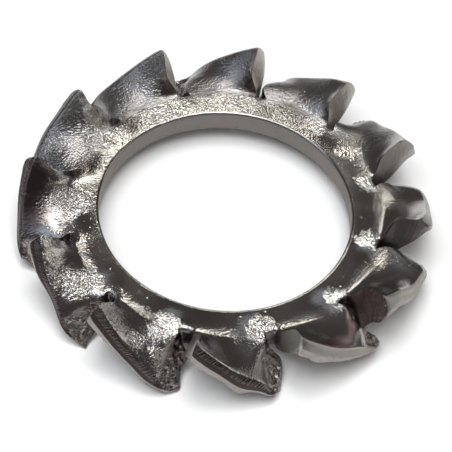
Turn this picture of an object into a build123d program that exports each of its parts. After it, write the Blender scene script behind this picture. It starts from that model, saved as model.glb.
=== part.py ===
from build123d import *
import os
from math import cos, radians, sin, tan

os.makedirs("parts", exist_ok=True)

# A toothed lock washer, stamped from spring strip in one piece. The bore's
# axis is Z, and the lowest tooth corners stand on the plane Z = 0. One tooth
# runs outward along +X. Seen from above, its clockwise end, on the -Y side,
# is twisted up, and its other end, on the +Y side, is twisted down.

# ---------------------------------------------------------------- sizes (mm)
BORE_DIAMETER = 8.4             # clearance bore for an M8 screw
STRIP_THICKNESS = 0.8
TOOTH_COUNT = 12
RING_WIDTH = 0.94               # bore to the line where the teeth start to bend
BORE_EDGE_RADIUS = 0.1          # rolled edges round the bore

# where the lanced slits meet the ring
SLIT_WIDTH = 0.43               # open width between two teeth, at the top face
RAISED_END_CLEARANCE = 0.01     # raised end of a tooth to the middle of its slit

# the top edge of the rim at the two ends of a tooth
RAISED_RUN = 1.20               # outward from the bend line
RAISED_HEIGHT = 1.115           # above the ring's top face
RAISED_OVERHANG_LENGTH = 0.03   # past the tooth's own share of the ring
RAISED_SLOPE = 20.0             # degrees, upward
DIPPED_RUN = 1.73
DIPPED_DROP = 0.645             # below the ring's top face
DIPPED_GAP_LENGTH = 0.13        # short of the tooth's own share of the ring
DIPPED_SLOPE = -18.0

# the rim between the two ends
RIM_BULGE_DEPTH = 0.08          # its middle stands outward
RIM_SAG_DEPTH = 0.10            # and hangs below a straight line
RIM_SLOPE_RISE = 7.0            # degrees, added at its middle
RIM_THINNING_DEPTH = 0.15       # the strip is squeezed thinner towards the rim

# the cut faces
RAISED_WALL_LEAN = 17.0         # degrees, sheared wall at the raised end
DIPPED_WALL_LEAN = -30.0        # degrees, torn wall at the dipped end
ROLLOVER_SHARE = 0.34           # of the rim's thickness: rounded top edge
BURNISH_SHARE = 0.31            # of the rim's thickness: smooth sheared band
ROLLOVER_WIDTH = 0.15           # how far the rounded edge runs outward
BREAK_LEAN = 10.0               # degrees, the broken band leans inward

# the rim's two corners, rounded off as seen from above
RAISED_CORNER_DEPTH = 0.16
DIPPED_CORNER_DEPTH = 0.12
CORNER_SHARE = 0.16             # of the rim's length

# burrs left hanging on the rim's lower edge: which tooth, counted
# anticlockwise from +X, how far along it from the raised end, and how large
# beside the usual one
BURR_RADIUS = 0.12
BURRS = (
    (5, 0.24, 1.0),
    (5, 0.54, 1.3),
    (7, 0.92, 0.8),
    (9, 0.56, 0.9),
    (10, 0.15, 0.8),
)

# ------------------------------------------------------- worked out from them
BORE_RADIUS = BORE_DIAMETER / 2
BEND_LINE = BORE_RADIUS + RING_WIDTH
PITCH = 360 / TOOTH_COUNT
HALF_PITCH = BEND_LINE * tan(radians(PITCH / 2))
RIM_THICKNESS = STRIP_THICKNESS - RIM_THINNING_DEPTH

# places along a tooth, from the raised end to the dipped end, that its
# surfaces run through, and how far its root reaches into the ring
SECTIONS = (0.0, 0.05, 0.2, 0.5, 0.8, 0.93, 1.0)
ROOT_OVERLAP_LENGTH = 0.2


def blend(raised, dipped, share):
    return raised + (dipped - raised) * share


def swell(share):
    """0 at both ends of a tooth and 1 at its middle."""
    return 4 * share * (1 - share)


def corner_drop(share):
    """1 at the very end of the rim, falling to 0 as a quarter round does."""
    gone = min(share / CORNER_SHARE, 1)
    return 1 - (1 - (1 - gone) ** 2) ** 0.5


def rim_run(share):
    run = blend(RAISED_RUN, DIPPED_RUN, share) + RIM_BULGE_DEPTH * swell(share)
    run -= RAISED_CORNER_DEPTH * corner_drop(share)
    run -= DIPPED_CORNER_DEPTH * corner_drop(1 - share)
    return run


def rim_height(share):
    return blend(RAISED_HEIGHT, -DIPPED_DROP, share) - RIM_SAG_DEPTH * swell(share)


def rim_directions(share):
    """Unit steps outward along the strip, and down through its thickness."""
    slope = blend(RAISED_SLOPE, DIPPED_SLOPE, share) + RIM_SLOPE_RISE * swell(share)
    outward = cos(radians(slope))
    upward = sin(radians(slope))
    return (outward, upward), (upward, -outward)


def rim_corners(share):
    """Top edge, end of the rollover, end of the burnish, and low edge."""
    along, down = rim_directions(share)

    def step(start, ahead, drop):
        return (
            start[0] + along[0] * ahead + down[0] * drop,
            start[1] + along[1] * ahead + down[1] * drop,
        )

    rollover = RIM_THICKNESS * ROLLOVER_SHARE
    burnish = RIM_THICKNESS * BURNISH_SHARE
    broken = RIM_THICKNESS - rollover - burnish
    top_edge = (rim_run(share), rim_height(share))
    roll_end = step(top_edge, ROLLOVER_WIDTH, rollover)
    burnish_end = step(roll_end, 0, burnish)
    low_edge = step(burnish_end, -broken * tan(radians(BREAK_LEAN)), broken)
    return top_edge, roll_end, burnish_end, low_edge


def section_direction(share, out, up):
    """Turn a step in a section, outward and up, into a step in space.

    The section leans sideways with height, and turns sideways as it runs
    outward, so that it passes through the rim's top edge.
    """
    lean = tan(radians(blend(RAISED_WALL_LEAN, DIPPED_WALL_LEAN, share)))
    rim_side = blend(
        -HALF_PITCH - RAISED_OVERHANG_LENGTH,
        HALF_PITCH - DIPPED_GAP_LENGTH,
        share,
    )
    level_side = rim_side - rim_height(share) * lean
    turn = (level_side - root_side(share)) / rim_run(share)
    return Vector(out, out * turn + up * lean, up)


def root_side(share):
    return blend(RAISED_END_CLEARANCE - HALF_PITCH, HALF_PITCH - SLIT_WIDTH, share)


def section_point(share, out, up):
    root = Vector(BEND_LINE, root_side(share), 0)
    return root + section_direction(share, out, up)


def tooth_section(share):
    """Closed outline across the strip, from the ring to the rim."""
    top_edge, roll_end, burnish_end, low_edge = rim_corners(share)
    along, down = rim_directions(share)

    def at(corner):
        return section_point(share, *corner)

    def heading(step):
        return section_direction(share, *step)

    root_top = (0, 0)
    root_low = (0, -STRIP_THICKNESS)
    inside_top = (-ROOT_OVERLAP_LENGTH, 0)
    inside_low = (-ROOT_OVERLAP_LENGTH, -STRIP_THICKNESS)
    level = (1, 0)
    level_back = (-1, 0)
    back = (-along[0], -along[1])
    top_ends = (heading(level), heading(along))
    roll_ends = (heading(along), heading(down))
    under_ends = (heading(back), heading(level_back))
    return Wire(
        [
            Line(at(inside_top), at(root_top)),
            Spline(at(root_top), at(top_edge), tangents=top_ends),
            Spline(at(top_edge), at(roll_end), tangents=roll_ends),
            Line(at(roll_end), at(burnish_end)),
            Line(at(burnish_end), at(low_edge)),
            Spline(at(low_edge), at(root_low), tangents=under_ends),
            Line(at(root_low), at(inside_low)),
            Line(at(inside_low), at(inside_top)),
        ]
    )


def tooth():
    """One twisted tooth, cut off square where it joins the ring."""
    outlines = [tooth_section(share) for share in SECTIONS]
    body = Solid.make_loft(outlines, ruled=False)
    room = 2 * (BEND_LINE + DIPPED_RUN)
    outside = Pos(BEND_LINE + room / 2, 0, 0) * Box(room, room, room)
    return body & outside


def burr(tooth_number, share, size):
    """A bead of torn metal, half sunk in the lower edge of a tooth's rim."""
    low_edge = rim_corners(share)[-1]
    bead = Pos(section_point(share, *low_edge)) * Sphere(BURR_RADIUS * size)
    return Rot(0, 0, tooth_number * PITCH) * bead


def ring():
    """The flat ring inside the teeth: its top face is at Z = 0."""
    corner = BEND_LINE / cos(radians(PITCH / 2))
    outline = RegularPolygon(corner, TOOTH_COUNT, rotation=PITCH / 2)
    body = extrude(outline, STRIP_THICKNESS, dir=(0, 0, -1))
    body -= Cylinder(BORE_RADIUS, STRIP_THICKNESS * 3)
    return fillet(body.edges().filter_by(GeomType.CIRCLE), BORE_EDGE_RADIUS)


def lock_washer():
    body = ring()
    one_tooth = tooth()
    for place in PolarLocations(0, TOOTH_COUNT):
        body += place * one_tooth
    for tooth_number, share, size in BURRS:
        body += burr(tooth_number, share, size)
    lowest = body.bounding_box().min.Z
    return Pos(0, 0, -lowest) * body


if __name__ == "__main__":
    export_step(lock_washer(), "parts/lock_washer.step")
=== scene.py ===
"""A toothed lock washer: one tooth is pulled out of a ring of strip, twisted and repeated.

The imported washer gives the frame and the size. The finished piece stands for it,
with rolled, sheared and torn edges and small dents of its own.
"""

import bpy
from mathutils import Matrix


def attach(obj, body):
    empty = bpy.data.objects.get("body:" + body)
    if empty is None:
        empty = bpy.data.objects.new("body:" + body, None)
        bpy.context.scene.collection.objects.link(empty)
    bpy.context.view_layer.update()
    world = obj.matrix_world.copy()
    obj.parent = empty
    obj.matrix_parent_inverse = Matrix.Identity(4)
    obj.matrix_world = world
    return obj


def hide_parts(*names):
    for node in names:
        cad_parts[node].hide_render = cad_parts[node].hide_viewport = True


bl_info = {
    "name": "Toothed lock washer",
    "version": (1, 0, 0),
    "blender": (4, 5, 0),
    "location": "3D View > Sidebar > Washer",
    "description": "Models a stamped toothed lock washer and its studio",
    "category": "Object",
}

import math

import bmesh
import bpy
from bpy.props import FloatProperty, IntProperty, PointerProperty
from bpy.types import Operator, Panel, PropertyGroup
from mathutils import Matrix, Vector

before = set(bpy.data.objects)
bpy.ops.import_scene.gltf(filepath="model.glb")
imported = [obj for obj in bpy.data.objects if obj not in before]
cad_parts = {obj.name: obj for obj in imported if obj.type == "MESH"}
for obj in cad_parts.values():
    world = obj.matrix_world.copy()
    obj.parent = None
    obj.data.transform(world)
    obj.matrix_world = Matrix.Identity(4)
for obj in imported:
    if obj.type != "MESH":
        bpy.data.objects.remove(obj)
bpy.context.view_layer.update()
NODE = "lock_washer"
MM = 0.001
RING_TOP = 1.29714 * MM      # the ring's top face over the floor
FULL_TURN = 2 * math.pi

# ---------------------------------------------------------------- the sheet
COLUMNS = 12                 # steps of the circle in one tooth's share of it
SLIT_COLUMNS = 2             # of these, the open slit beside the tooth
RING_ROWS = (0.10, 0.36, 0.70)   # mm outward from the bore, up to the bend line
TOOTH_ROWS = (0.08, 0.18, 0.36, 0.56, 0.76, 0.90, 1.0)   # shares of the way to the rim
# vertex groups, read as 0 to 1
DEPTH = "depth"              # top face to underside
REACH = "reach"              # bend line to rim
ACROSS = "across"            # raised end to dipped end
TORN = "torn"                # how ragged the cut face is

SLOTS = (
    "faces",
    "bore_wall",
    "rolled_edge",
    "burnished_band",
    "broken_band",
    "sheared_wall",
    "torn_wall",
)

# how near a weight, an angle in degrees, or a radius as a share of itself, is to a
# value to count as it
WEIGHT_LEEWAY = 0.01
ANGLE_LEEWAY = 0.1
RADIUS_LEEWAY = 0.001

# the tooth as it is pulled out of the ring, in mm
TOOTH_START = 5.1            # just inside the bend line, from the axis
TOOTH_DRIFT = 0.13           # its middle drifts anticlockwise
RIM_SAG = (0.02, 0.0, -0.10)     # the middle of the rim: outward, sideways, up
RIM_SAG_SPREAD = 1.4

# the underside of a tooth beside its top, in mm, at the root and near the rim
WIDER_AT_RAISED_END = (0.02, 0.20)
WIDER_AT_DIPPED_END = (0.20, 0.36)
WIDENING_PACE = 1.6          # shares of the widening for each share of the way out
UNDER_TURN = math.radians(9)     # seen from above, at the rim
UNDER_OUT = 0.11             # outward, at the rim
UNDER_THINNED = 0.15         # the strip is squeezed thinner towards the rim
SLIT_CLOSING = 0.18          # the torn root of the slit, towards its other side

# the rows that the cut faces get, and at the rim: depth, outward and down in mm
BAND_CUTS = 3
RIM_BANDS = ((0.25, 0.14, 0.05), (0.5, 0.16, 0.03), (0.75, 0.11, 0.0))

# the top edges of the cut walls: at which end, from and to which reach, the move
# and its spread in mm
WALL_LEANS = (
    (0, (0.30, 0.60), (0.0, 0.30, 0.06), 0.50),
    (0, (0.70, 0.95), (0.0, 0.10, 0.0), 0.35),
    (1, (0.30, 1.10), (0.0, -0.22, -0.04), 0.45),
)

# the rim's corners: at which end, from and to which depth, and the move in mm
CORNERS = (
    (0, (0, 1), (0.0, -0.04, 0.03)),
    (1, (0, 1), (-0.08, -0.02, 0.0)),
    (1, (0.5, 1), (-0.03, -0.06, 0.02)),
)
BESIDE_CORNER = (0.9, 0.02)      # across, and set back in mm

MERGE_DISTANCE = 0.002       # mm
BORE_ROLL = 0.07             # mm, the rolled edges of the bore
SMOOTH_ANGLE = math.radians(40)

# the roughness of the torn faces in the mesh itself, in mm
RAGGED_SIZE = 0.17
RAGGED_HEIGHT = 0.30
RAGGED_LEVEL = 0.55          # the noise that leaves the surface where it is


class WasherSizes(PropertyGroup):
    """Sizes of the washer, in metres."""

    bore_radius: FloatProperty(
        name="Bore radius",
        description="Radius of the hole for the screw",
        default=4.2 * MM,
        unit="LENGTH",
        precision=5,
    )
    bend_radius: FloatProperty(
        name="Bend radius",
        description="Where the teeth start, from the axis",
        default=5.2 * MM,
        unit="LENGTH",
        precision=5,
    )
    strip: FloatProperty(
        name="Strip thickness",
        description="Thickness of the flat ring",
        default=0.8 * MM,
        unit="LENGTH",
        precision=5,
    )
    teeth: IntProperty(
        name="Teeth",
        description="Number of teeth round the ring",
        default=12,
    )
    run: FloatProperty(
        name="Tooth run",
        description="How far the middle of a tooth reaches outward from the bend",
        default=1.48 * MM,
        unit="LENGTH",
        precision=5,
    )
    raised_height: FloatProperty(
        name="Raised height",
        description="How far the rim's clockwise end stands above the ring",
        default=1.13 * MM,
        unit="LENGTH",
        precision=5,
    )
    dipped_drop: FloatProperty(
        name="Dipped drop",
        description="How far the rim's other end hangs below the ring's top face",
        default=0.66 * MM,
        unit="LENGTH",
        precision=5,
    )
    yaw: FloatProperty(
        name="Yaw",
        description="Turn of the rim, seen from above, that pushes its low end outward",
        default=math.radians(6.4),
        subtype="ANGLE",
    )
    rim_length: FloatProperty(
        name="Rim length",
        description="Length of the rim from its raised end to its dipped end",
        default=3.27 * MM,
        unit="LENGTH",
        precision=5,
    )
    ring_height: FloatProperty(
        name="Ring height",
        description="Height of the ring's top face over the floor",
        default=RING_TOP,
        unit="LENGTH",
        precision=5,
    )


def edit(piece):
    """Only this piece is selected and open in edit mode."""
    bpy.ops.object.select_all(action="DESELECT")
    piece.select_set(True)
    bpy.context.view_layer.objects.active = piece
    bpy.ops.object.mode_set(mode="EDIT")


def pick(kind, test):
    """Select the vertices, edges or faces that pass the test, and nothing else."""
    bpy.ops.mesh.select_mode(type=kind)
    bpy.ops.mesh.select_all(action="DESELECT")
    mesh = bpy.context.object.data
    shape = bmesh.from_edit_mesh(mesh)
    elements = {"VERT": shape.verts, "EDGE": shape.edges, "FACE": shape.faces}[kind]
    for element in elements:
        if test(element):
            element.select = True
    shape.select_flush_mode()
    bmesh.update_edit_mesh(mesh)


def angle_of(point):
    return math.degrees(math.atan2(point.y, point.x))


def radius_of(point):
    return point.xy.length


def ease(share):
    """0 to 1 with a gentle start and end."""
    return share * share * (3 - 2 * share)


def climb(share):
    """How far the raised end has come up: a tight bend, then straight, then flatter."""
    bend, crest = 0.11, 0.66
    steep, flat = 1.185, 0.50
    if share < bend:
        return steep * share * share / (2 * bend)
    risen = steep * bend / 2 + steep * (min(share, crest) - bend)
    if share > crest:
        over = share - crest
        risen += steep * over - (steep - flat) * over * over / (2 * (1 - crest))
    return risen


def dip(share):
    """How far the other end has gone down: a wide bend, then straight to the rim."""
    bend = 0.46
    shallow, steep = 0.42, 1.20
    if share < bend:
        return shallow * share + (steep - shallow) * share * share / (2 * bend)
    return (shallow + steep) * bend / 2 + steep * (share - bend)


def blend(low, high, share):
    return low + (high - low) * share


def reads(vertex, group_name):
    """A vertex's weight in a vertex group of the piece in edit mode."""
    piece = bpy.context.object
    shape = bmesh.from_edit_mesh(piece.data)
    layer = shape.verts.layers.deform.verify()
    return vertex[layer].get(piece.vertex_groups[group_name].index, 0)


def at(vertex, group_name, value, leeway=WEIGHT_LEEWAY):
    """Whether a vertex's weight in a vertex group is this value."""
    return abs(reads(vertex, group_name) - value) < leeway


def make_sector_of_ring(sizes):
    """A twelfth of the flat ring: a circle, pulled outward in rows and cut down."""
    half = 180 / sizes.teeth
    bpy.ops.object.select_all(action="DESELECT")
    bpy.ops.mesh.primitive_circle_add(
        vertices=sizes.teeth * COLUMNS, radius=sizes.bore_radius
    )
    piece = bpy.context.object
    piece.name = "toothed_lock_washer"
    edit(piece)
    bpy.ops.mesh.select_all(action="SELECT")
    radius = sizes.bore_radius
    rows = [sizes.bore_radius + row * MM for row in RING_ROWS] + [sizes.bend_radius]
    for wider in rows:
        bpy.ops.mesh.extrude_region_move(TRANSFORM_OT_translate={"value": (0, 0, 0)})
        grow = wider / radius
        bpy.ops.transform.resize(value=(grow, grow, 1), center_override=(0, 0, 0))
        radius = wider
    pick("VERT", lambda v: abs(angle_of(v.co)) > half + ANGLE_LEEWAY)
    bpy.ops.mesh.delete(type="VERT")
    return piece


def pull_tooth(sizes):
    """The tooth is pulled out of the ring row by row, each twisted a little more."""
    half = 180 / sizes.teeth
    step = 2 * half / COLUMNS
    low_end = half - SLIT_COLUMNS * step
    pick(
        "EDGE",
        lambda e: all(
            radius_of(v.co) > sizes.bend_radius * (1 - RADIUS_LEEWAY)
            and angle_of(v.co) < low_end + ANGLE_LEEWAY
            for v in e.verts
        ),
    )
    middle = math.radians((low_end - half) / 2)
    root = Vector((math.cos(middle), math.sin(middle), 0)) * sizes.bend_radius
    root_length = 2 * sizes.bend_radius * math.sin(math.radians((low_end + half) / 2))
    centre = root.copy()
    weigh(ACROSS, lambda point: (angle_of(point) + half) / (low_end + half))
    done = 0
    length = root_length
    height = 0
    tilt = 0
    for share in TOOTH_ROWS:
        high = sizes.raised_height * climb(share)
        low = -sizes.dipped_drop * dip(share)
        new_height = (high + low) / 2
        move = Vector(
            (
                sizes.run * (share - done),
                TOOTH_DRIFT * MM * (share - done),
                new_height - height,
            )
        )
        bpy.ops.mesh.extrude_region_move(TRANSFORM_OT_translate={"value": move})
        centre += move
        height = new_height
        longer = blend(root_length, sizes.rim_length, share) / length
        length *= longer
        bpy.ops.transform.resize(value=(longer,) * 3, center_override=centre)
        new_tilt = math.asin((high - low) / length)
        bpy.ops.transform.rotate(
            value=new_tilt - tilt, orient_axis="X", center_override=centre
        )
        tilt = new_tilt
        bpy.ops.transform.rotate(
            value=sizes.yaw * (share - done), orient_axis="Z", center_override=centre
        )
        weigh(REACH, lambda point: share)
        done = share
    # the middle of the rim hangs a little below the line between its ends
    pick("VERT", lambda v: at(v, REACH, 1) and at(v, ACROSS, 0.5))
    bpy.ops.transform.translate(
        value=[part * MM for part in RIM_SAG],
        use_proportional_edit=True,
        proportional_edit_falloff="SMOOTH",
        proportional_size=RIM_SAG_SPREAD * MM,
    )


def give_thickness(sizes):
    """The sheet is extruded down, and its underside follows the cut faces of the tooth."""
    half = 180 / sizes.teeth
    bpy.ops.mesh.select_mode(type="FACE")
    bpy.ops.mesh.select_all(action="SELECT")
    bpy.ops.mesh.extrude_region_move(
        TRANSFORM_OT_translate={"value": (0, 0, -sizes.strip)}
    )
    weigh(DEPTH, lambda point: 1)
    for share in TOOTH_ROWS:
        pick("VERT", lambda v: at(v, DEPTH, 1) and at(v, REACH, share))
        shape = bmesh.from_edit_mesh(bpy.context.object.data)
        row_points = [v.co.copy() for v in shape.verts if v.select]
        centre = sum(row_points, Vector()) / len(row_points)
        width = max(p.y for p in row_points) - min(p.y for p in row_points)
        full = min(1, share * WIDENING_PACE)
        raised = blend(*WIDER_AT_RAISED_END, full) * MM
        dipped = blend(*WIDER_AT_DIPPED_END, full) * MM
        wider = (width + raised + dipped) / width
        bpy.ops.transform.resize(value=(1, wider, 1), center_override=centre)
        bpy.ops.transform.rotate(
            value=-UNDER_TURN * share**2, orient_axis="Z", center_override=centre
        )
        bpy.ops.transform.translate(
            value=(
                UNDER_OUT * MM * share**2,
                (dipped - raised) / 2,
                UNDER_THINNED * MM * ease(share),
            )
        )
    # no walls where the sector meets its neighbours
    inside = sizes.bend_radius * (1 + RADIUS_LEEWAY)
    pick(
        "FACE",
        lambda f: all(abs(abs(angle_of(v.co)) - half) < ANGLE_LEEWAY for v in f.verts)
        and all(radius_of(v.co) < inside for v in f.verts),
    )
    bpy.ops.mesh.delete(type="FACE")
    # the torn root of the slit closes towards the underside
    pick("VERT", lambda v: at(v, DEPTH, 1) and reads(v, REACH) == 0 and at(v, ACROSS, 1))
    bpy.ops.transform.translate(value=(0, SLIT_CLOSING * MM, 0))


def drag(move, spread):
    """Move what is picked, and what joins it by less and less as far as the spread."""
    bpy.ops.transform.translate(
        value=move,
        use_proportional_edit=True,
        use_proportional_connected=True,
        proportional_edit_falloff="SMOOTH",
        proportional_size=spread,
    )


def lean_walls():
    """Both cut walls lean: the top edges of a tooth lie back from its foot."""
    for across, reaches, move, spread in WALL_LEANS:
        pick(
            "VERT",
            lambda v: reads(v, DEPTH) == 0
            and at(v, ACROSS, across)
            and reaches[0] < reads(v, REACH) < reaches[1],
        )
        drag(Vector(move) * MM, spread * MM)


def round_corners():
    """The rim's two ends are set back, the low one further, and its foot is blunt."""
    for across, (top, low), move in CORNERS:
        pick(
            "VERT",
            lambda v: at(v, REACH, 1)
            and at(v, ACROSS, across)
            and top - WEIGHT_LEEWAY < reads(v, DEPTH) < low + WEIGHT_LEEWAY,
        )
        bpy.ops.transform.translate(value=Vector(move) * MM)
    across, back = BESIDE_CORNER
    pick("VERT", lambda v: at(v, REACH, 1) and at(v, ACROSS, across))
    bpy.ops.transform.translate(value=(-back * MM, 0, 0))


def cut_bands():
    """The cut faces get three rows of edges, and the rim its rolled top edge."""
    pick("EDGE", lambda e: abs(reads(e.verts[0], DEPTH) - reads(e.verts[1], DEPTH)) > 0.9)
    bpy.ops.mesh.subdivide(number_cuts=BAND_CUTS)
    for depth, out, down in RIM_BANDS:
        pick("VERT", lambda v: at(v, DEPTH, depth, 0.05) and at(v, REACH, 1))
        bpy.ops.transform.translate(value=(out * MM, 0, -down * MM))


def weigh(group_name, weight_of):
    """Give every selected vertex a weight in a vertex group."""
    piece = bpy.context.object
    group = piece.vertex_groups.get(group_name) or piece.vertex_groups.new(name=group_name)
    shape = bmesh.from_edit_mesh(piece.data)
    layer = shape.verts.layers.deform.verify()
    for vertex in shape.verts:
        if vertex.select:
            vertex[layer][group.index] = weight_of(vertex.co)
    bmesh.update_edit_mesh(piece.data)


def mark_torn():
    """The low end of a tooth tore off, and the rim's lower band broke."""
    for weight, test in (
        (
            1.0,
            lambda v: at(v, ACROSS, 1)
            and 0.1 < reads(v, DEPTH) < 0.9
            and reads(v, REACH) > 0.1,
        ),
        (0.5, lambda v: at(v, REACH, 1) and 0.6 < reads(v, DEPTH) < 0.9),
        (0.35, lambda v: at(v, REACH, 1) and reads(v, DEPTH) > 0.9),
    ):
        pick("VERT", test)
        weigh(TORN, lambda point: weight)


def tear(piece):
    """The torn faces are roughened in the mesh itself."""
    ragged = bpy.data.textures.new("ragged", "CLOUDS")
    ragged.noise_scale = RAGGED_SIZE * MM
    ragged.noise_depth = 2
    apply_modifier(
        piece,
        "DISPLACE",
        "tear",
        texture=ragged,
        texture_coords="LOCAL",
        vertex_group=TORN,
        mid_level=RAGGED_LEVEL,
        strength=RAGGED_HEIGHT * MM,
    )


def assign_slots(sizes):
    """Each kind of face takes its own finish."""
    piece = bpy.context.object

    def wall(face):
        depths = [reads(v, DEPTH) for v in face.verts]
        return max(depths) - min(depths) > WEIGHT_LEEWAY

    def depth_of(face):
        return sum(reads(v, DEPTH) for v in face.verts) / len(face.verts)

    def all_at(face, group_name, value):
        return all(at(v, group_name, value) for v in face.verts)

    def at_bore(face):
        inside = sizes.bore_radius * (1 + RADIUS_LEEWAY)
        return all(radius_of(v.co) < inside for v in face.verts)

    def rim(face):
        return all_at(face, REACH, 1)

    def outer(face):
        return wall(face) and not at_bore(face)

    tests = {
        "bore_wall": lambda f: wall(f) and at_bore(f),
        "rolled_edge": lambda f: outer(f) and rim(f) and depth_of(f) < 0.25,
        "burnished_band": lambda f: outer(f) and rim(f) and 0.25 < depth_of(f) < 0.5,
        "broken_band": lambda f: outer(f) and rim(f) and depth_of(f) > 0.5,
        "sheared_wall": lambda f: outer(f) and not rim(f) and all_at(f, ACROSS, 0)
        and not all_at(f, REACH, 0),
        "torn_wall": lambda f: outer(f) and not rim(f)
        and (all_at(f, ACROSS, 1) or all_at(f, REACH, 0)),
    }
    for slot_name in SLOTS:
        bpy.ops.object.material_slot_add()
    for number, slot_name in enumerate(SLOTS):
        if slot_name in tests:
            pick("FACE", tests[slot_name])
            piece.active_material_index = number
            bpy.ops.object.material_slot_assign()


def repeat_round(sizes):
    """The finished tooth is copied round the axis, and the copies are joined."""
    bpy.ops.mesh.select_all(action="SELECT")
    turn = FULL_TURN / sizes.teeth
    bpy.ops.mesh.spin(
        steps=sizes.teeth - 1,
        dupli=True,
        angle=turn * (sizes.teeth - 1),
        center=(0, 0, 0),
        axis=(0, 0, 1),
    )
    bpy.ops.mesh.select_all(action="SELECT")
    bpy.ops.mesh.remove_doubles(threshold=MERGE_DISTANCE * MM)
    bpy.ops.mesh.normals_make_consistent(inside=False)


# at the root of every tooth, where the ring gives way a little: across, reach, depth,
# the move in mm (outward, anticlockwise, up), and its spread in mm
ROOT = (0.9, 0.0, 0.0, (0.0, 0.0, -0.05), 0.8)
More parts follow.
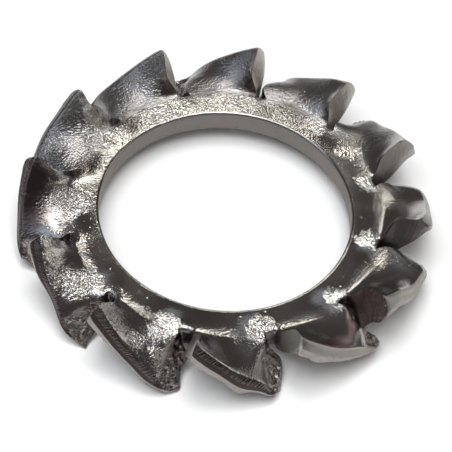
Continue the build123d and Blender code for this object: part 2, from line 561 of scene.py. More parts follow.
# the same for one tooth, counted anticlockwise from the one along X, one after another
NUDGES = (
    (0, 1.0, 1.0, 0.0, (-0.02, 0.05, 0.16), 1.0),
    (0, 1.0, 0.36, 0.0, (0.00, 0.24, 0.08), 0.8),
    (0, 1.0, 0.76, 0.0, (0.00, 0.16, 0.06), 0.7),
    (0, 0.0, 0.76, 1.0, (-0.04, 0.02, -0.02), 0.7),
    (0, 0.0, 0.18, 1.0, (0.00, -0.15, -0.20), 0.5),
    (0, 0.0, 1.0, 1.0, (-0.08, 0.12, 0.22), 0.5),
    (0, 0.4, 1.0, 0.5, (-0.04, 0.0, 0.0), 0.8),
    (0, 0.0, 0.36, 0.0, (0.0, 0.12, 0.10), 0.5),
    (0, 0.0, 1.0, 0.0, (0.0, 0.0, -0.15), 0.5),
    (1, 1.0, 1.0, 0.0, (0.04, 0.08, 0.12), 0.9),
    (1, 1.0, 0.56, 0.0, (0.00, 0.10, 0.06), 0.9),
    (1, 1.0, 0.18, 0.0, (0.00, 0.26, 0.12), 0.6),
    (1, 0.5, 1.0, 0.0, (0.05, 0.00, 0.08), 0.8),
    (1, 0.0, 0.76, 1.0, (-0.05, 0.06, 0.04), 0.8),
    (1, 0.0, 1.0, 1.0, (-0.02, 0.00, 0.04), 0.6),
    (1, 0.0, 0.9, 0.0, (-0.02, 0.10, 0.0), 0.5),
    (2, 1.0, 1.0, 0.5, (-0.10, -0.02, -0.02), 0.8),
    (2, 1.0, 0.36, 0.0, (0.00, 0.42, 0.22), 0.9),
    (2, 0.0, 1.0, 0.0, (0.0, -0.02, -0.14), 0.9),
    (2, 0.0, 0.76, 0.5, (0.0, -0.10, 0.0), 1.2),
    (3, 1.0, 0.36, 0.0, (0.00, 0.20, 0.00), 0.7),
    (4, 1.0, 0.36, 0.0, (0.00, 0.24, 0.00), 0.7),
    (5, 1.0, 0.36, 0.0, (0.00, 0.26, 0.00), 0.7),
    (6, 1.0, 0.36, 0.0, (0.00, 0.22, 0.00), 0.7),
    (3, 1.0, 1.0, 0.0, (-0.16, -0.14, -0.14), 0.7),
    (3, 0.8, 1.0, 0.0, (-0.10, -0.02, -0.12), 0.8),
    (3, 0.0, 0.76, 0.5, (0.0, -0.12, 0.0), 1.2),
    (4, 0.0, 0.76, 0.5, (0.03, -0.16, 0.0), 1.2),
    (4, 0.0, 0.18, 0.5, (0.0, -0.12, 0.0), 0.5),
    (5, 0.0, 1.0, 0.0, (0.04, -0.06, -0.02), 0.9),
    (5, 0.5, 1.0, 0.5, (0.06, 0.00, 0.00), 0.9),
    (5, 1.0, 1.0, 1.0, (0.04, 0.04, 0.02), 0.6),
    (5, 0.2, 1.0, 1.0, (0.18, 0.00, 0.10), 0.25),
    (5, 0.5, 1.0, 1.0, (0.26, 0.00, 0.08), 0.25),
    (6, 1.0, 1.0, 1.0, (0.05, -0.12, 0.22), 0.7),
    (6, 0.0, 1.0, 0.5, (0.0, -0.06, 0.0), 0.7),
    (6, 0.5, 1.0, 1.0, (-0.05, 0.00, 0.00), 1.0),
    (7, 0.5, 1.0, 1.0, (-0.20, 0.00, 0.00), 1.1),
    (7, 1.0, 1.0, 1.0, (-0.02, 0.20, 0.00), 0.4),
    (8, 1.0, 1.0, 1.0, (0.12, -0.02, 0.00), 0.7),
    (8, 1.0, 0.9, 1.0, (-0.10, 0.06, 0.00), 0.35),
    (8, 1.0, 0.76, 1.0, (-0.04, 0.08, 0.00), 0.4),
    (8, 0.9, 1.0, 1.0, (0.17, 0.00, 0.00), 0.45),
    (8, 0.7, 1.0, 1.0, (0.14, 0.00, -0.10), 0.8),
    (8, 1.0, 0.56, 1.0, (0.00, -0.06, 0.00), 0.5),
    (8, 1.0, 0.18, 1.0, (0.00, 0.26, 0.00), 0.4),
    (9, 1.0, 1.0, 1.0, (0.02, -0.16, 0.00), 0.7),
    (9, 0.5, 1.0, 1.0, (0.08, 0.00, -0.12), 0.9),
    (9, 0.5, 1.0, 1.0, (0.16, 0.04, -0.06), 0.25),
    (9, 1.0, 0.76, 0.0, (0.00, -0.10, 0.00), 0.7),
    (9, 1.0, 0.36, 1.0, (0.00, 0.14, 0.00), 0.5),
    (9, 1.0, 0.18, 1.0, (0.00, 0.20, 0.00), 0.35),
    (9, 0.8, 1.0, 1.0, (0.18, -0.04, 0.00), 0.5),
    (9, 0.0, 1.0, 1.0, (-0.14, 0.08, 0.05), 0.6),
    (10, 0.0, 1.0, 1.0, (-0.14, 0.06, 0.10), 0.8),
    (10, 0.2, 1.0, 1.0, (0.06, 0.00, -0.04), 0.25),
    (10, 1.0, 1.0, 0.5, (0.06, 0.18, 0.20), 0.8),
    (10, 1.0, 0.56, 0.0, (0.00, 0.30, 0.04), 0.7),
    (10, 1.0, 0.76, 0.5, (0.00, 0.16, 0.00), 0.5),
    (10, 1.0, 0.18, 0.0, (0.0, 0.16, 0.0), 0.5),
    (11, 1.0, 1.0, 0.0, (0.04, 0.12, 0.32), 1.3),
    (11, 1.0, 0.36, 0.0, (0.00, 0.40, 0.10), 0.8),
    (11, 1.0, 0.76, 0.0, (-0.04, 0.14, 0.04), 0.7),
    (11, 0.4, 1.0, 1.0, (0.06, 0.00, -0.05), 0.7),
    (11, 0.0, 1.0, 0.0, (0.0, 0.0, -0.30), 1.1),
    (11, 0.0, 0.56, 1.0, (0.10, -0.50, -0.40), 0.7),
    (11, 0.0, 0.9, 1.0, (-0.04, -0.40, -0.20), 0.5),
)


def note_places():
    """Where each vertex of the master tooth is, by its three weights."""
    shape = bmesh.from_edit_mesh(bpy.context.object.data)
    places = {}
    for v in shape.verts:
        key = tuple(round(reads(v, name), 2) for name in (ACROSS, REACH, DEPTH))
        if radius_of(v.co) > TOOTH_START * MM:
            places[key] = v.co.copy()
    return places


def nudge_teeth(sizes, places):
    """The ring gives way a little at each root, and then no two teeth are quite alike."""
    nudges = [(tooth, *ROOT) for tooth in range(sizes.teeth)]
    nudges += NUDGES
    shape = bmesh.from_edit_mesh(bpy.context.object.data)
    steps = []
    for tooth, across, reach, depth, move, spread in nudges:
        turn = Matrix.Rotation(FULL_TURN * tooth / sizes.teeth, 3, "Z")
        place = turn @ places[(across, reach, depth)]
        nearest = min(shape.verts, key=lambda v: (v.co - place).length_squared)
        steps.append((nearest.index, turn @ (Vector(move) * MM), spread * MM))
    for number, move, spread in steps:
        pick("VERT", lambda v: v.index == number)
        drag(move, spread)


def crease_edges():
    """Sheared edges stay sharp, and the rolled rim is softer."""

    def both(e, group_name, value):
        return all(at(v, group_name, value) for v in e.verts)

    def side_end(e):
        return not both(e, REACH, 0) and (both(e, ACROSS, 0) or both(e, ACROSS, 1))

    def corner(e):
        return both(e, REACH, 1) and (both(e, ACROSS, 0) or both(e, ACROSS, 1))

    sharpness = (
        (0.65, lambda e: both(e, DEPTH, 0) and side_end(e) and not corner(e)),
        (0.20, lambda e: both(e, DEPTH, 0) and both(e, REACH, 1)),
        (0.30, lambda e: both(e, DEPTH, 0.5) and both(e, REACH, 1)),
        (0.55, lambda e: both(e, DEPTH, 1) and (both(e, REACH, 1) or side_end(e))),
    )
    for crease, test in sharpness:
        pick("EDGE", test)
        bpy.ops.transform.edge_crease(value=crease)


def bevel_bore(sizes):
    """The two edges of the bore are rolled over."""
    inside = sizes.bore_radius * (1 + RADIUS_LEEWAY)
    pick(
        "EDGE",
        lambda e: all(radius_of(v.co) < inside for v in e.verts)
        and (all(at(v, DEPTH, 0) for v in e.verts) or all(at(v, DEPTH, 1) for v in e.verts)),
    )
    bpy.ops.mesh.bevel(offset=BORE_ROLL * MM, segments=2, profile=0.5, affect="EDGES")


def settle(sizes):
    """The ring stands at its own height over the floor."""
    bpy.ops.mesh.select_all(action="SELECT")
    bpy.ops.transform.translate(value=(0, 0, sizes.ring_height))
    bpy.ops.object.mode_set(mode="OBJECT")


def apply_modifier(piece, kind, name, **settings):
    """Add a modifier, set it and apply it, on this piece alone."""
    bpy.ops.object.select_all(action="DESELECT")
    piece.select_set(True)
    bpy.context.view_layer.objects.active = piece
    bpy.ops.object.modifier_add(type=kind)
    modifier = piece.modifiers[-1]
    modifier.name = name
    for setting, value in settings.items():
        setattr(modifier, setting, value)
    bpy.ops.object.modifier_apply(modifier=name)


# ---------------------------------------------------------------- materials
def add_node(tree, kind, inputs=None, **settings):
    """A node with its settings, its constant inputs and its links."""
    node = tree.nodes.new(kind)
    for setting, value in settings.items():
        setattr(node, setting, value)
    for name, value in (inputs or {}).items():
        socket = node.inputs[name]
        if isinstance(value, bpy.types.NodeSocket):
            tree.links.new(value, socket)
        else:
            socket.default_value = value
    return node


def new_group(name, sockets_in, sockets_out):
    tree = bpy.data.node_groups.new(name, "ShaderNodeTree")
    for socket_name, kind, value in sockets_in:
        socket = tree.interface.new_socket(socket_name, in_out="INPUT", socket_type=kind)
        if value is not None:
            socket.default_value = value
    for socket_name, kind in sockets_out:
        tree.interface.new_socket(socket_name, in_out="OUTPUT", socket_type=kind)
    return tree, tree.nodes.new("NodeGroupInput"), tree.nodes.new("NodeGroupOutput")


def math_node(tree, operation, first, second=0.0):
    node = add_node(tree, "ShaderNodeMath", {0: first, 1: second}, operation=operation)
    return node.outputs[0]


def times(tree, first, second):
    return math_node(tree, "MULTIPLY", first, second)


def fade(tree, value, limits, unit=1.0, **settings):
    """A value that goes from start to end while the input goes from low to high."""
    low, high, start, end = limits
    node = add_node(
        tree,
        "ShaderNodeMapRange",
        {"Value": value, 1: low * unit, 2: high * unit, 3: start, 4: end},
        **settings,
    )
    return node.outputs[0]


def mix_colours(tree, factor, first, second):
    node = add_node(
        tree, "ShaderNodeMix", {"Factor": factor, 6: first, 7: second}, data_type="RGBA"
    )
    return node.outputs[2]


def place_group(tree, group, vector):
    node = add_node(tree, "ShaderNodeGroup", node_tree=group)
    tree.links.new(vector, node.inputs["Vector"])
    return node


def ramp_node(tree, value, stops):
    node = add_node(tree, "ShaderNodeValToRGB", {"Fac": value})
    elements = node.color_ramp.elements
    while len(elements) < len(stops):
        elements.new(0.5)
    for element, (place, tone) in zip(elements, stops):
        element.position = place
        element.color = tone
    return node.outputs["Color"]


def noise_node(tree, vector, scale, detail=3.0, roughness=0.55, distortion=0.0):
    node = add_node(
        tree,
        "ShaderNodeTexNoise",
        {
            "Vector": vector,
            "Scale": scale,
            "Detail": detail,
            "Roughness": roughness,
            "Distortion": distortion,
        },
    )
    return node.outputs["Fac"]


# how fine the patterns are: cells of the noise to a metre
PEEL_SCALE = 7500
SPECK_SCALE = 15000
PIT_SCALE = 4200
PIT_AREA_SCALE = 1300
GRAIN_AREA_SCALE = 700
PATCH_EDGE_SCALE = 2600
BROAD_TONE_SCALE = 420
WARM_AREA_SCALE = 2100
FLOOR_SCALE = 60

# how the grain changes: from and to, and the values there
RUBBED_SMOOTH = (-4.0, 3.0, 1.0, 0.45)       # mm along X
PATCHY_GRAIN = (0.35, 0.65, 0.5, 1.3)        # of the noise that varies its strength
PIT_SPREAD = (0.05, 0.22, 1.0, 0.0)          # of the distance to a pit's middle
PIT_AREAS = (0.52, 0.62, 0.0, 1.0)           # of the noise that says where pits are
ARC_RADIUS = 6.0                             # mm, where lengths along the circle are true


def build_round_group():
    """Millimetres along the circle, outward and up, from object coordinates."""
    tree, inside, outside = new_group(
        "Round the axis",
        (("Vector", "NodeSocketVector", None),),
        (("Vector", "NodeSocketVector"),),
    )
    place = add_node(
        tree,
        "ShaderNodeMapping",
        {
            "Vector": inside.outputs["Vector"],
            "Rotation": (0, 0, math.radians(-15)),
            "Scale": (1 / MM, 1 / MM, 1 / MM),
        },
    )
    parts = add_node(tree, "ShaderNodeSeparateXYZ", {"Vector": place.outputs["Vector"]})
    x, y, z = parts.outputs
    angle = math_node(tree, "ARCTAN2", y, x)
    arc = times(tree, angle, ARC_RADIUS)
    squares = math_node(tree, "ADD", times(tree, x, x), times(tree, y, y))
    radius = math_node(tree, "SQRT", squares)
    whole = add_node(tree, "ShaderNodeCombineXYZ", {"X": arc, "Y": radius, "Z": z})
    tree.links.new(whole.outputs["Vector"], outside.inputs["Vector"])
    return tree


def build_grain_group():
    """Tumbled and pressed metal: fine specks, a soft orange peel and small pits."""
    tree, inside, outside = new_group(
        "Tumbled grain",
        (
            ("Vector", "NodeSocketVector", None),
            ("Peel", "NodeSocketFloat", 0.5),
            ("Specks", "NodeSocketFloat", 0.5),
            ("Pits", "NodeSocketFloat", 0.3),
            ("Strain", "NodeSocketFloat", 1.0),
        ),
        (("Height", "NodeSocketFloat"), ("Pit mask", "NodeSocketFloat")),
    )
    vector = inside.outputs["Vector"]
    # the side towards +X was rubbed smoother than the other
    parts = add_node(tree, "ShaderNodeSeparateXYZ", {"Vector": vector})
    rub = fade(tree, parts.outputs["X"], RUBBED_SMOOTH, MM)
    patchy = fade(tree, noise_node(tree, vector, GRAIN_AREA_SCALE, 2.0), PATCHY_GRAIN)
    amount = times(tree, rub, patchy)
    # bending the teeth roughened the strip, and the flat ring stayed smooth
    amount = times(tree, amount, inside.outputs["Strain"])
    peel = times(tree, noise_node(tree, vector, PEEL_SCALE, 2.0), inside.outputs["Peel"])
    specks = noise_node(tree, vector, SPECK_SCALE, 1.0, 0.5)
    specks = times(tree, specks, inside.outputs["Specks"])
    peel = times(tree, peel, amount)
    specks = times(tree, specks, amount)
    cells = add_node(
        tree,
        "ShaderNodeTexVoronoi",
        {"Vector": vector, "Scale": PIT_SCALE, "Randomness": 1.0},
        feature="F1",
    )
    near = fade(tree, cells.outputs["Distance"], PIT_SPREAD)
    area = fade(tree, noise_node(tree, vector, PIT_AREA_SCALE, 2.0), PIT_AREAS)
    mask = times(tree, near, area)
    pits = times(tree, mask, inside.outputs["Pits"])
    height = math_node(tree, "SUBTRACT", math_node(tree, "ADD", peel, specks), pits)
    tree.links.new(height, outside.inputs["Height"])
    tree.links.new(mask, outside.inputs["Pit mask"])
    return tree


# the patches that rubbing and bending left rough, each also given a painted highlight in its
# colour: centre and radius in mm, and strength
WORN_AND_HIGHLIGHT_PATCHES = (
    (0.85, -4.95, 1.30, 0.50, 0.9),
    (-2.15, -4.85, 1.45, 0.60, 0.9),
    (-4.90, -3.10, 1.55, 0.80, 0.9),
    (-5.10, 0.25, 1.55, 0.75, 0.8),
    (-4.15, 3.15, 1.60, 0.70, 0.8),
    (-2.10, 4.25, 1.50, 0.70, 0.35),
    (-0.50, 4.68, 1.45, 0.60, 0.3),
    (1.00, 4.72, 1.50, 0.70, 0.3),
    (3.50, 3.75, 1.40, 0.60, 0.7),
    (4.35, 2.45, 1.40, 0.50, 0.5),
    (4.88, 1.10, 1.30, 0.40, 0.9),
    (4.68, -1.40, 1.30, 0.42, 0.9),
    (3.45, -3.70, 1.30, 0.40, 0.8),
    # along the rims of some teeth
    (-4.30, -4.40, 2.20, 0.36, 0.5),
    (-3.70, -4.90, 1.80, 0.36, 0.5),
    (-3.10, -5.35, 1.40, 0.36, 0.5),
    (-2.50, -5.70, 1.00, 0.36, 0.5),
    (-6.05, -1.90, 2.10, 0.42, 0.8),
    (-5.85, -2.50, 1.80, 0.38, 0.6),
    (-5.60, -3.10, 1.45, 0.42, 0.5),
    (-6.20, 1.75, 2.20, 0.34, 0.8),
    (-4.60, 4.55, 2.20, 0.34, 0.7),
    (-4.50, 4.10, 1.90, 0.34, 0.7),
)

# the same for dark spots: painted shade in the pits at three raised ends and at the roots
# of two teeth, and two darker spots on the outside of the tooth along -X
SHADE_AND_DARK_SPOTS = (
    (-1.77, 5.26, 1.55, 0.45, 0.9),
    (1.14, 5.25, 1.55, 0.45, 0.9),
    (3.81, 3.84, 1.50, 0.40, 0.9),
    (-3.12, 3.83, 1.40, 0.55, 0.6),
    (-4.65, 1.69, 1.40, 0.50, 0.5),
    (-6.45, 0.95, 1.70, 1.00, 0.85),
    (-6.60, -0.10, 1.20, 1.00, 0.85),
)
# a patch is whole out to the first share of its radius and gone at the second
PATCH_CORE = 0.45
PATCH_EDGE = 1.05
RAGGEDNESS = 0.9             # mm, how far its edge runs in and out


def build_patches_group(name, patches):
    """Patches in their places, each with a ragged edge."""
    tree, inside, outside = new_group(
        name,
        (("Vector", "NodeSocketVector", None),),
        (("Mask", "NodeSocketFloat"),),
    )
    vector = inside.outputs["Vector"]
    ragged = noise_node(tree, vector, PATCH_EDGE_SCALE, 4.0, 0.65)
    ragged = times(tree, ragged, RAGGEDNESS * MM)
    ragged = math_node(tree, "SUBTRACT", ragged, RAGGEDNESS / 2 * MM)
    mask = 0.0
    for x, y, z, radius, strength in patches:
        away = add_node(
            tree,
            "ShaderNodeVectorMath",
            {0: vector, 1: (x * MM, y * MM, z * MM)},
            operation="DISTANCE",
        )
        near = fade(
            tree,
            math_node(tree, "ADD", away.outputs["Value"], ragged),
            (PATCH_CORE * radius, PATCH_EDGE * radius, strength, 0.0),
            MM,
            interpolation_type="SMOOTHSTEP",
        )
        mask = math_node(tree, "MAXIMUM", near, mask)
    tree.links.new(mask, outside.inputs["Mask"])
    return tree


LINE_STRETCH = 0.12          # the lines change this much slower along themselves


def build_lines_group():
    """Fine lines that shearing drags down a cut face."""
    tree, inside, outside = new_group(
        "Sheared lines",
        (
            ("Vector", "NodeSocketVector", None),
            ("Slant", "NodeSocketFloat", -0.67),
            ("Fineness", "NodeSocketFloat", 14.0),
        ),
        (("Height", "NodeSocketFloat"),),
    )
    parts = add_node(
        tree, "ShaderNodeSeparateXYZ", {"Vector": inside.outputs["Vector"]}
    )
    arc, radius, z = parts.outputs
    slide = times(tree, z, inside.outputs["Slant"])
    along = math_node(tree, "ADD", arc, slide)
    along = math_node(tree, "ADD", along, radius)
    long_z = times(tree, z, LINE_STRETCH)
    across = add_node(tree, "ShaderNodeCombineXYZ", {"X": along, "Y": long_z})
    fine = noise_node(tree, across.outputs[0], inside.outputs["Fineness"], 3.0, 0.6)
    tree.links.new(fine, outside.inputs["Height"])
    return tree


WARM_AREAS = (0.5, 0.7, 0.0, 0.7)    # of the noise that says where the steel is warm


def build_tint_group():
    """Heat and handling stains: warm and cool patches, and light and dark ones."""
    tree, inside, outside = new_group(
        "Stains",
        (
            ("Vector", "NodeSocketVector", None),
            ("Light", "NodeSocketColor", (0.6, 0.58, 0.56, 1)),
            ("Dark", "NodeSocketColor", (0.3, 0.27, 0.25, 1)),
            ("Warm", "NodeSocketColor", (0.42, 0.33, 0.29, 1)),
        ),
        (("Colour", "NodeSocketColor"), ("Patches", "NodeSocketFloat")),
    )
    vector = inside.outputs["Vector"]
    broad = noise_node(tree, vector, BROAD_TONE_SCALE, 3.0, 0.6, 0.4)
    small = noise_node(tree, vector, WARM_AREA_SCALE, 3.0, 0.6)
    toned = mix_colours(tree, broad, inside.outputs["Dark"], inside.outputs["Light"])
    warmth = fade(tree, small, WARM_AREAS)
    warmed = mix_colours(tree, warmth, toned, inside.outputs["Warm"])
    tree.links.new(warmed, outside.inputs["Colour"])
    tree.links.new(broad, outside.inputs["Patches"])
    return tree


def make_groups():
    return {
        "round": build_round_group(),
        "grain": build_grain_group(),
        "lines": build_lines_group(),
        "tint": build_tint_group(),
        "patches": build_patches_group("Worn patches and painted highlights", WORN_AND_HIGHLIGHT_PATCHES),
        "shade_spots": build_patches_group("Painted shade and dark spots", SHADE_AND_DARK_SPOTS),
    }


# light, dark and warm colours, roughness from and to, and how strong the
# peel, specks, pits and sheared lines are
FINISHES = {
    "faces": (
        (0.45, 0.435, 0.43), (0.33, 0.315, 0.31), (0.36, 0.33, 0.31),
        0.07, 0.13, 0.30, 0.60, 0.3, 0.0,
    ),
    "bore_wall": (
        (0.27, 0.25, 0.235), (0.18, 0.168, 0.157), (0.22, 0.19, 0.165),
        0.45, 0.6, 0.6, 0.8, 0.6, 0.5,
    ),
    # the rolled edge and the burnished band get very dark colours: a painted dark reflection
    "rolled_edge": (
        (0.20, 0.18, 0.175), (0.09, 0.07, 0.07), (0.15, 0.11, 0.10),
        0.18, 0.28, 0.5, 0.6, 0.5, 0.8,
    ),
    "burnished_band": (
        (0.11, 0.09, 0.088), (0.035, 0.025, 0.025), (0.09, 0.055, 0.05),
        0.26, 0.42, 0.3, 0.5, 0.4, 1.6,
    ),
    "broken_band": (
        (0.50, 0.47, 0.45), (0.28, 0.26, 0.245), (0.38, 0.33, 0.31),
        0.42, 0.62, 0.8, 1.0, 1.0, 0.9,
    ),
    "sheared_wall": (
        (0.28, 0.262, 0.255), (0.13, 0.115, 0.11), (0.24, 0.165, 0.15),
        0.34, 0.50, 0.4, 0.6, 0.6, 1.0,
    ),
    "torn_wall": (
        (0.50, 0.47, 0.455), (0.07, 0.055, 0.052), (0.17, 0.12, 0.11),
        0.12, 0.30, 1.8, 1.0, 1.5, 0.6,
    ),
}
# cut faces that are paler in places, as painted light: that colour, and the axes and
# distances in mm over which they turn pale
PAINTED_LIGHT_ZONES = {
    "rolled_edge": ((0.40, 0.38, 0.355), (("X", 1.4, 2.4),)),
    "burnished_band": ((0.40, 0.38, 0.355), (("X", 1.4, 2.4),)),
    "sheared_wall": ((0.58, 0.56, 0.52), (("Y", 0.6, 2.0), ("Y", -4.9, -5.4))),
}
PAINTED_HIGHLIGHT_STEEL = (0.90, 0.88, 0.83)    # painted highlight colour: the worn patches and the far side of the ring's top
# the colour of the painted shade and of the darker spots
SHADE_AND_DARK_TONE = (0.12, 0.09, 0.088)
TORN_STEEL = (0.25, 0.17, 0.162)
PIT_DARKNESS = 0.35          # a pit's colour, as a share of the finish's dark one
PIT_COVER = 0.6
BUMP_HEIGHT = 0.03           # mm

# what changes over a face: from and to in mm, and the values there
STRAINED = (4.8, 5.4, 0.12, 0.7)     # outward: the grain is stronger on the bent teeth
COARSE = (2.2, 4.4, 0.0, 1.0)        # along Y: more grain there, and the ring's painted reflection
PAINTED_RING_REFLECTION = (4.95, 5.35, 0.85, 0.0)       # outward: the flat ring, which gets the painted reflection
LEFT = (0.2, 2.6, 1.1, 0.0)          # along X, away from the +X side: where the painted reflection fades
UPPER = (0.95, 1.2, 0.0, 1.0)        # upward: the painted reflection is on the ring's top, and not its underside
TORN_ZONE = (-2.8, -3.6, 0.0, 1.0)   # along Y: torn rather than cut
WORN_STRAIN = 2.6            # more grain in the worn patches and where a wall is torn
TORN_COVER = 0.8

# and what that adds to the roughness
BENT_ROUGHNESS = (4.85, 5.2, 0.0, 0.10)      # outward
COARSE_ROUGHNESS = (0.5, 4.0, 0.0, 0.09)     # along Y
WORN_ROUGHNESS = 0.02
PALE_ROUGHNESS = 0.15
TORN_GLOSS = 0.2             # taken away where a wall is torn
ROUGHNESS_AREAS = (0.3, 0.7)     # of the noise between a finish's two roughnesses


def colour(values):
    return (*values, 1)


def make_steel(name, groups):
    """One finish: its colours, its grain and lines, and what changes over the face."""
    light, dark, warm, smooth, rough, peel, specks, pits, lines = FINISHES[name]
    material = bpy.data.materials.new("steel_" + name)
    material.use_nodes = True
    tree = material.node_tree
    tree.nodes.clear()
    vector = add_node(tree, "ShaderNodeTexCoord").outputs["Object"]
    round_vector = place_group(tree, groups["round"], vector).outputs["Vector"]
    grain = place_group(tree, groups["grain"], vector)
    grain.inputs["Peel"].default_value = peel
    grain.inputs["Specks"].default_value = specks
    grain.inputs["Pits"].default_value = pits
    drawn = place_group(tree, groups["lines"], round_vector)
    tint = place_group(tree, groups["tint"], vector)
    tint.inputs["Light"].default_value = colour(light)
    tint.inputs["Dark"].default_value = colour(dark)
    tint.inputs["Warm"].default_value = colour(warm)
    sides = add_node(tree, "ShaderNodeSeparateXYZ", {"Vector": vector}).outputs
    # the Y of a vector turned round the axis is its distance out, in mm
    outward = add_node(tree, "ShaderNodeSeparateXYZ", {"Vector": round_vector}).outputs["Y"]
    strain = fade(tree, outward, STRAINED)
    base = tint.outputs["Colour"]
    roughness = fade(tree, tint.outputs["Patches"], (*ROUGHNESS_AREAS, smooth, rough))
    if name == "faces":
        coarse = fade(tree, sides["Y"], COARSE, MM)
        # the top of the flat ring on its far side is lightened: a painted reflection
        painted_far_reflection = times(tree, fade(tree, outward, PAINTED_RING_REFLECTION), coarse)
        painted_far_reflection = times(tree, painted_far_reflection, fade(tree, sides["Z"], UPPER, MM))
        painted_far_reflection = times(tree, painted_far_reflection, fade(tree, sides["X"], LEFT, MM))
        worn_and_highlight = place_group(tree, groups["patches"], vector).outputs["Mask"]
        shade_and_dark_mask = place_group(tree, groups["shade_spots"], vector).outputs["Mask"]
        base = mix_colours(tree, painted_far_reflection, base, colour(PAINTED_HIGHLIGHT_STEEL))
        # the worn patches also get a painted highlight in their colour
        base = mix_colours(tree, worn_and_highlight, base, colour(PAINTED_HIGHLIGHT_STEEL))
        # painted shade in the pits and at the roots, and darker spots along -X
        base = mix_colours(tree, shade_and_dark_mask, base, colour(SHADE_AND_DARK_TONE))
        strain = math_node(tree, "ADD", strain, coarse)
        strain = math_node(tree, "ADD", strain, times(tree, worn_and_highlight, WORN_STRAIN))
        # duller on the bent teeth, towards +Y and in the worn patches
        for part in (
            fade(tree, outward, BENT_ROUGHNESS),
            fade(tree, sides["Y"], COARSE_ROUGHNESS, MM),
            times(tree, worn_and_highlight, WORN_ROUGHNESS),
        ):
            roughness = math_node(tree, "ADD", roughness, part)
    if name in PAINTED_LIGHT_ZONES:
        painted_light_colour, zones = PAINTED_LIGHT_ZONES[name]
        painted_light = 0.0
        for axis, low, high in zones:
            zone = fade(tree, sides[axis], (low, high, 0.0, 1.0), MM)
            painted_light = math_node(tree, "MAXIMUM", zone, painted_light)
        # painted light: the cut faces turn paler in these zones
        base = mix_colours(tree, painted_light, base, colour(painted_light_colour))
        roughness = math_node(tree, "ADD", roughness, times(tree, painted_light, PALE_ROUGHNESS))
    if name == "sheared_wall":
        torn = fade(tree, sides["Y"], TORN_ZONE, MM)
        cover = times(tree, torn, math_node(tree, "SUBTRACT", TORN_COVER, painted_light))
        base = mix_colours(tree, cover, base, colour(TORN_STEEL))
        strain = math_node(tree, "ADD", strain, times(tree, torn, WORN_STRAIN))
        roughness = math_node(tree, "SUBTRACT", roughness, times(tree, torn, TORN_GLOSS))
    tree.links.new(strain, grain.inputs["Strain"])
    base = mix_colours(
        tree,
        times(tree, grain.outputs["Pit mask"], PIT_COVER),
        base,
        colour([part * PIT_DARKNESS for part in dark]),
    )
    dragged = times(tree, drawn.outputs["Height"], lines)
    height = math_node(tree, "ADD", grain.outputs["Height"], dragged)
    bump = add_node(
        tree,
        "ShaderNodeBump",
        {"Height": height, "Strength": 1.0, "Distance": BUMP_HEIGHT * MM},
    )
    shader = add_node(
        tree,
        "ShaderNodeBsdfPrincipled",
        {
            "Base Color": base,
            "Metallic": 1.0,
            "Roughness": roughness,
            "Normal": bump.outputs["Normal"],
        },
    )
    output = add_node(tree, "ShaderNodeOutputMaterial")
    tree.links.new(shader.outputs[0], output.inputs["Surface"])
    return material


FLOOR_TONES = ((0.3, (0.88, 0.88, 0.88, 1)), (0.7, (0.91, 0.91, 0.91, 1)))


def make_floor_material():
    material = bpy.data.materials.new("pale_floor")
    material.use_nodes = True
    tree = material.node_tree
    shader = tree.nodes["Principled BSDF"]
    place = add_node(tree, "ShaderNodeTexCoord")
    mottle = noise_node(tree, place.outputs["Object"], FLOOR_SCALE, 3.0)
    tree.links.new(ramp_node(tree, mottle, FLOOR_TONES), shader.inputs["Base Color"])
    shader.inputs["Roughness"].default_value = 0.9
    shader.inputs["Specular IOR Level"].default_value = 0.1
    return material


# ---------------------------------------------------------------- the studio
CAMERA_DISTANCE = 71.128      # mm, from the middle of the ring's top face
CAMERA_ELEVATION = 0.887756   # radians
CAMERA_ROLL = 0.094632        # radians
CAMERA_TURN = math.radians(7.57792)
CAMERA_LENS = 171.058         # mm, for a sensor 36 mm wide
CAMERA_SHIFT = (0.067596, -0.588817)   # mm, across and up the view


def heading(azimuth, elevation):
    """A direction seen from the camera: 0 degrees is away from it, + is right."""
    turn = math.radians(azimuth) + CAMERA_TURN
    level = math.cos(math.radians(elevation))
    return Vector(
        (math.sin(turn) * level, math.cos(turn) * level, math.sin(math.radians(elevation)))
    )


# name, azimuth, elevation, width and height in degrees, brightness, colour
SOFTBOXES = (
    ("overhead", -3, 76, 30, 17, 4.8, (1.0, 0.99, 0.98)),
    ("overhead_skirt", -35, 80, 60, 34, 0.4, (0.82, 0.90, 1.0)),
    ("left_window", -98, 48, 22, 36, 1.0, (0.72, 0.85, 1.0)),
    ("back_spot", -3.6, 46.0, 7, 2.6, 16.0, (1.0, 0.97, 0.88)),
    ("front_low", 180, 20, 60, 24, 0.55, (1.0, 0.98, 0.96)),
    ("right_low", 74, 20, 24, 30, 1.3, (1.0, 0.97, 0.90)),
)
# it brightens the floor and isn't reflected
FLOOR_FILL = ("floor_fill", -150, 80, 50, 50, 3.5, (1, 1, 1))
SOFTBOX_DISTANCE = 0.5
WORLD_COLOUR = (0.085, 0.078, 0.074)
FLOOR_SIZE = 1.6


def add_softbox(name, azimuth, elevation, width, height, brightness, tint):
    towards = heading(azimuth, elevation)
    bpy.ops.object.light_add(type="AREA", location=towards * SOFTBOX_DISTANCE)
    lamp = bpy.context.object
    lamp.name = "light_" + name
    lamp.rotation_euler = towards.to_track_quat("Z", "Y").to_euler()
    light = lamp.data
    light.shape = "RECTANGLE"
    light.size = 2 * SOFTBOX_DISTANCE * math.tan(math.radians(width / 2))
    light.size_y = 2 * SOFTBOX_DISTANCE * math.tan(math.radians(height / 2))
    light.energy = brightness * math.pi * light.size * light.size_y
    light.color = tint
    return lamp


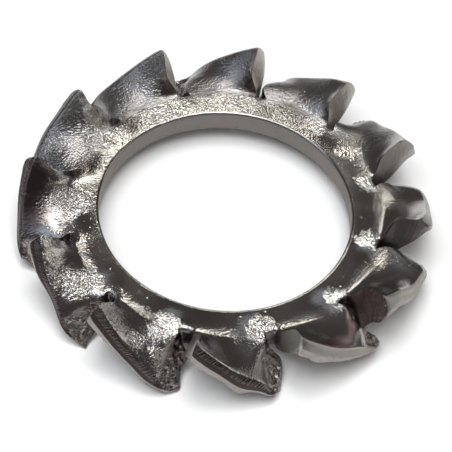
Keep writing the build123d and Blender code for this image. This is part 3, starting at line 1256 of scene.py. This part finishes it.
def add_camera(sizes):
    ce = math.cos(CAMERA_ELEVATION)
    se = math.sin(CAMERA_ELEVATION)
    right = Vector((1, 0, 0))
    up = Vector((0, se, ce))
    back = Vector((0, -ce, se))
    place = back * CAMERA_DISTANCE + right * CAMERA_SHIFT[0] + up * CAMERA_SHIFT[1]
    rolled_right = right * math.cos(CAMERA_ROLL) + up * math.sin(CAMERA_ROLL)
    rolled_up = up * math.cos(CAMERA_ROLL) - right * math.sin(CAMERA_ROLL)
    turn = Matrix.Rotation(-CAMERA_TURN, 3, "Z")
    place = (turn @ place) * MM
    place.z += sizes.ring_height
    axes = Matrix((turn @ rolled_right, turn @ rolled_up, turn @ back)).transposed()
    bpy.ops.object.camera_add(location=place, rotation=axes.to_euler())
    camera = bpy.context.object
    camera.data.sensor_width = 36
    camera.data.lens = CAMERA_LENS
    camera.data.clip_start = 0.001
    camera.data.clip_end = 10
    bpy.context.scene.camera = camera


# ---------------------------------------------------------------- operators
class WASHER_OT_lock_washer(Operator):
    """Model the toothed lock washer and give it its finishes."""

    bl_idname = "washer.lock_washer"
    bl_label = "Toothed lock washer"
    bl_options = {"REGISTER", "UNDO"}

    def execute(self, context):
        sizes = context.scene.washer_sizes
        piece = make_sector_of_ring(sizes)
        pull_tooth(sizes)
        give_thickness(sizes)
        cut_bands()
        lean_walls()
        round_corners()
        assign_slots(sizes)
        mark_torn()
        places = note_places()
        repeat_round(sizes)
        nudge_teeth(sizes, places)
        crease_edges()
        bevel_bore(sizes)
        settle(sizes)
        apply_modifier(piece, "SUBSURF", "smooth", levels=2, render_levels=2)
        tear(piece)
        bpy.ops.object.shade_smooth_by_angle(angle=SMOOTH_ANGLE)
        groups = make_groups()
        for number, name in enumerate(SLOTS):
            piece.material_slots[number].material = make_steel(name, groups)
        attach(piece, "root")
        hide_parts(NODE)
        return {"FINISHED"}


class WASHER_OT_studio(Operator):
    """Set up the pale floor, the soft lights and the camera."""

    bl_idname = "washer.studio"
    bl_label = "Studio"
    bl_options = {"REGISTER", "UNDO"}

    def execute(self, context):
        sizes = context.scene.washer_sizes
        bpy.ops.object.select_all(action="DESELECT")
        bpy.ops.mesh.primitive_plane_add(size=FLOOR_SIZE, location=(0, 0, 0))
        floor = context.object
        floor.name = "floor"
        floor.data.materials.append(make_floor_material())
        for softbox in SOFTBOXES:
            add_softbox(*softbox)
        fill = add_softbox(*FLOOR_FILL)
        fill.visible_glossy = False
        add_camera(sizes)
        world = bpy.data.worlds.new("studio_world")
        context.scene.world = world
        world.use_nodes = True
        background = world.node_tree.nodes["Background"]
        background.inputs["Color"].default_value = colour(WORLD_COLOUR)
        background.inputs["Strength"].default_value = 1.0
        context.scene.view_settings.view_transform = "Standard"
        return {"FINISHED"}


class WASHER_PT_panel(Panel):
    """Lists the washer's sizes and its operators."""

    bl_label = "Washer"
    bl_idname = "WASHER_PT_panel"
    bl_space_type = "VIEW_3D"
    bl_region_type = "UI"
    bl_category = "Washer"

    def draw(self, context):
        sizes = context.scene.washer_sizes
        column = self.layout.column()
        for name in WasherSizes.__annotations__:
            column.prop(sizes, name)
        column.operator(WASHER_OT_lock_washer.bl_idname)
        column.operator(WASHER_OT_studio.bl_idname)


CLASSES = (WasherSizes, WASHER_OT_lock_washer, WASHER_OT_studio, WASHER_PT_panel)


def register():
    for each in CLASSES:
        bpy.utils.register_class(each)
    bpy.types.Scene.washer_sizes = PointerProperty(type=WasherSizes)


def unregister():
    del bpy.types.Scene.washer_sizes
    for each in reversed(CLASSES):
        bpy.utils.unregister_class(each)


def main():
    register()
    bpy.ops.washer.lock_washer()
    bpy.ops.washer.studio()


if __name__ == "__main__":
    main()
